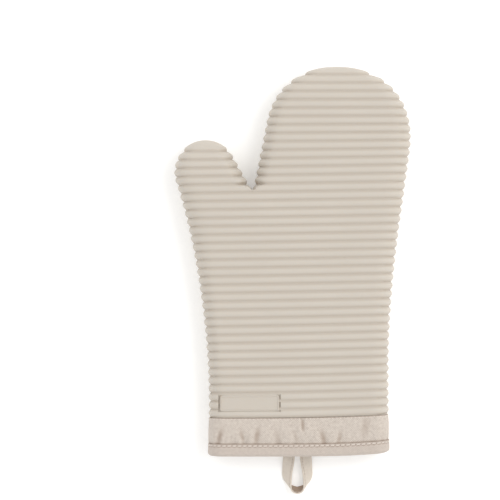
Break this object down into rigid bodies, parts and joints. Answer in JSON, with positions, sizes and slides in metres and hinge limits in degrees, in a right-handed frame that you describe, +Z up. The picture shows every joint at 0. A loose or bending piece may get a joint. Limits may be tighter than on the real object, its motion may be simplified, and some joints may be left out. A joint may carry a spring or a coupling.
{
  "type": "oven mitt",
  "caption": "Hollow ribbed silicone oven mitt with thumb and finger pockets, a quilted lining, a sewn twill cuff and a hanging loop.",
  "frame": {"origin": "on the surface that the mitt lies on, under the middle of the whole mitt with its loop", "axes": "+Y from the cuff to the fingertips, -X towards the thumb, +Z up out of the front face that carries the name plate"},
  "size_m": [0.1952, 0.3558, 0.0334],
  "materials": {
    "silicone": "matte",
    "twill": "matte",
    "thread": "satin",
    "lining_cloth": "matte",
    "wadding": "matte"
  },
  "bodies": {
    "mitt": {"silicone_shell": "silicone", "cuff_band": "twill", "cuff_binding": "twill", "cuff_seam_thread": "thread", "hem_topstitch_thread": "thread", "lining_seam_thread": "thread", "lining_face_front": "lining_cloth", "lining_face_rear": "lining_cloth", "backing_cloth_front": "lining_cloth", "backing_cloth_rear": "lining_cloth", "wadding_front": "wadding", "wadding_rear": "wadding"},
    "loop": {"hanging_loop": "twill", "loop_stitch_thread": "thread"}
  },
  "joints": [
    {"name": "loop_swing", "type": "hinge", "parent": "mitt", "child": "loop", "pos_m": [0.00519, -0.14628, 0.0038], "axis": [-1, 0, 0], "range_deg": [-80, 75]}
  ]
}
